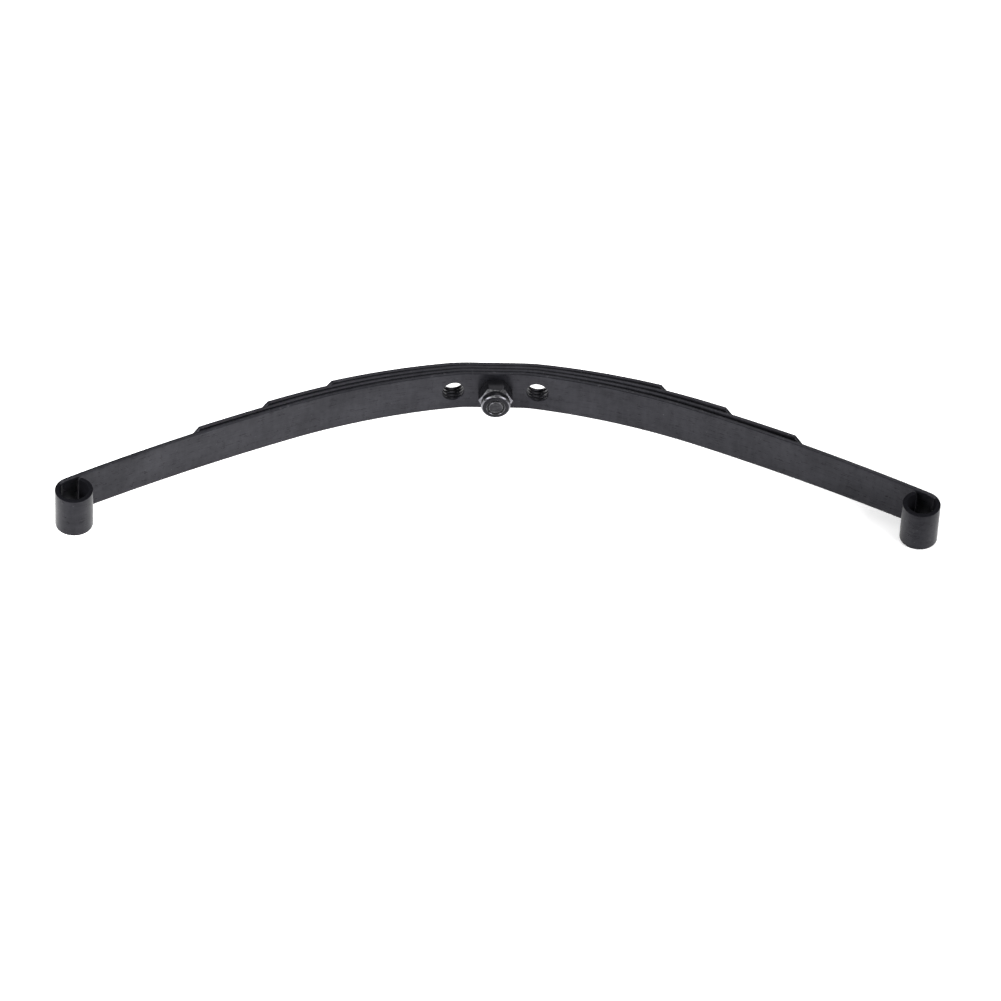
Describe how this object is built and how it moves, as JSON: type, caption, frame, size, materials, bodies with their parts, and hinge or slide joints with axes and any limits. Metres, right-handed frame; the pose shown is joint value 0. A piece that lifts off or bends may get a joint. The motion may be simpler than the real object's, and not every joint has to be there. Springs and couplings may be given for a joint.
{
  "type": "leaf spring",
  "caption": "Small multi-leaf suspension spring with a rolled eye at each end of the main leaf, stepped shorter leaves and a centre bolt with a lock nut.",
  "frame": {"origin": "under the centre bolt, at the middle of the main leaf's thickness, on the plane of the long edges that the spring lies on", "axes": "+X along the spring to its right eye, +Y to the convex side where the bolt's head is, +Z across the leaves and up, along the eye axes"},
  "size_m": [0.1152, 0.0297, 0.006],
  "materials": {
    "leaf_steel": "black oxide on rolled spring steel, satin",
    "bolt_steel": "black oxide on a machined screw, satin",
    "nut_steel": "black oxide on a formed nut, with worn bright edges",
    "insert_nylon": "black nylon"
  },
  "bodies": {
    "seat": {"main_leaf_seat": "leaf_steel", "second_leaf_seat": "leaf_steel", "third_leaf_seat": "leaf_steel", "fourth_leaf_seat": "leaf_steel", "centre_bolt": "bolt_steel", "lock_nut": "nut_steel", "nut_insert": "insert_nylon"},
    "main_arm_left": {"main_leaf_arm_left": "leaf_steel"},
    "second_arm_left": {"second_leaf_arm_left": "leaf_steel"},
    "third_arm_left": {"third_leaf_arm_left": "leaf_steel"},
    "fourth_arm_left": {"fourth_leaf_arm_left": "leaf_steel"},
    "main_arm_right": {"main_leaf_arm_right": "leaf_steel"},
    "second_arm_right": {"second_leaf_arm_right": "leaf_steel"},
    "third_arm_right": {"third_leaf_arm_right": "leaf_steel"},
    "fourth_arm_right": {"fourth_leaf_arm_right": "leaf_steel"}
  },
  "joints": [
    {"name": "main_flex_left", "type": "hinge", "parent": "seat", "child": "main_arm_left", "pos_m": [-0.00839, -0.00076, 0.003], "axis": [0, 0, -1], "range_deg": [-4, 12], "stiffness_Nm_per_rad": 3},
    {"name": "second_flex_left", "type": "hinge", "parent": "seat", "child": "second_arm_left", "pos_m": [-0.00852, -0.00011, 0.003], "axis": [0, 0, -1], "range_deg": [-4, 12]},
    {"name": "third_flex_left", "type": "hinge", "parent": "seat", "child": "third_arm_left", "pos_m": [-0.00865, 0.00053, 0.003], "axis": [0, 0, -1], "range_deg": [-4, 12]},
    {"name": "fourth_flex_left", "type": "hinge", "parent": "seat", "child": "fourth_arm_left", "pos_m": [-0.00878, 0.00117, 0.003], "axis": [0, 0, -1], "range_deg": [-4, 12]},
    {"name": "main_flex_right", "type": "hinge", "parent": "seat", "child": "main_arm_right", "pos_m": [0.00839, -0.00076, 0.003], "axis": [0, 0, 1], "range_deg": [-4, 12], "stiffness_Nm_per_rad": 3},
    {"name": "second_flex_right", "type": "hinge", "parent": "seat", "child": "second_arm_right", "pos_m": [0.00852, -0.00009, 0.003], "axis": [0, 0, 1], "range_deg": [-4, 12]},
    {"name": "third_flex_right", "type": "hinge", "parent": "seat", "child": "third_arm_right", "pos_m": [0.00865, 0.00057, 0.003], "axis": [0, 0, 1], "range_deg": [-4, 12]},
    {"name": "fourth_flex_right", "type": "hinge", "parent": "seat", "child": "fourth_arm_right", "pos_m": [0.00878, 0.00122, 0.003], "axis": [0, 0, 1], "range_deg": [-4, 12]}
  ],
  "couplings": [
    {"joint": "second_flex_left", "follows": "main_flex_left", "ratio": 1},
    {"joint": "third_flex_left", "follows": "main_flex_left", "ratio": 1},
    {"joint": "fourth_flex_left", "follows": "main_flex_left", "ratio": 1},
    {"joint": "second_flex_right", "follows": "main_flex_right", "ratio": 1},
    {"joint": "third_flex_right", "follows": "main_flex_right", "ratio": 1},
    {"joint": "fourth_flex_right", "follows": "main_flex_right", "ratio": 1}
  ]
}
